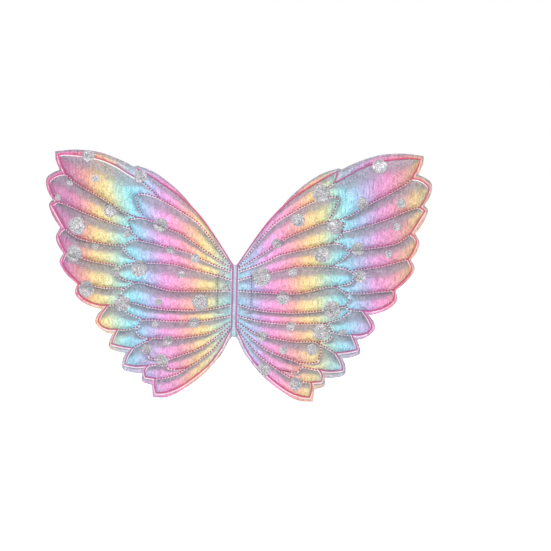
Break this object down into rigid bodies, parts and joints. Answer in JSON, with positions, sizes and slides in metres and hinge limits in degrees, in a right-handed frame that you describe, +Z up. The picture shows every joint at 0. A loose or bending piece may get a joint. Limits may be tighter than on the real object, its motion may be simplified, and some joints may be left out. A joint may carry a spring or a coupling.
{
  "type": "fairy wings",
  "caption": "Quilted, padded pair of feathered costume wings with a back patch and elastic shoulder straps, folding forward at the spine.",
  "frame": {"origin": "middle of the back patch's rear face, which lies on the wearer's back", "axes": "+Z up as worn, +X along the span towards the right wing seen from the decorated side, -Y out of the decorated face, +Y towards the wearer"},
  "size_m": [0.4484, 0.0243, 0.2866],
  "materials": {
    "face_fabric": "iridescent metallic satin with a rainbow print",
    "backing_fabric": "matt felt",
    "foam": "matt open-cell foam",
    "satin_thread": "satin embroidery thread",
    "patch_thread": "matt thread",
    "elastic": "woven elastic"
  },
  "bodies": {
    "spine": {"back_patch": "backing_fabric", "spine_face": "face_fabric", "spine_backing": "backing_fabric"},
    "left_wing": {"left_face": "face_fabric", "left_foam": "foam", "left_backing": "backing_fabric", "left_outline_stitching": "satin_thread", "left_feather_stitching": "satin_thread", "left_patch_stitching": "patch_thread", "left_strap_upper_tail": "elastic", "left_strap_lower_tail": "elastic"},
    "left_strap_loop": {"left_strap": "elastic"},
    "right_wing": {"right_face": "face_fabric", "right_foam": "foam", "right_backing": "backing_fabric", "right_outline_stitching": "satin_thread", "right_feather_stitching": "satin_thread", "right_patch_stitching": "patch_thread", "right_strap_upper_tail": "elastic", "right_strap_lower_tail": "elastic"},
    "right_strap_loop": {"right_strap": "elastic"}
  },
  "joints": [
    {"name": "left_wing_fold", "type": "hinge", "parent": "spine", "child": "left_wing", "pos_m": [-0.0024, -0.0047, 0], "axis": [0, 0, 1], "range_deg": [0, 75], "stiffness_Nm_per_rad": 0.02},
    {"name": "right_wing_fold", "type": "hinge", "parent": "spine", "child": "right_wing", "pos_m": [0.0024, -0.0047, 0], "axis": [0, 0, -1], "range_deg": [0, 75], "stiffness_Nm_per_rad": 0.02},
    {"name": "left_strap_swing", "type": "hinge", "parent": "left_wing", "child": "left_strap_loop", "pos_m": [-0.022, -0.0019, 0], "axis": [0, 0, -1], "range_deg": [0, 70]},
    {"name": "right_strap_swing", "type": "hinge", "parent": "right_wing", "child": "right_strap_loop", "pos_m": [0.022, -0.0019, 0], "axis": [0, 0, 1], "range_deg": [0, 70]}
  ]
}
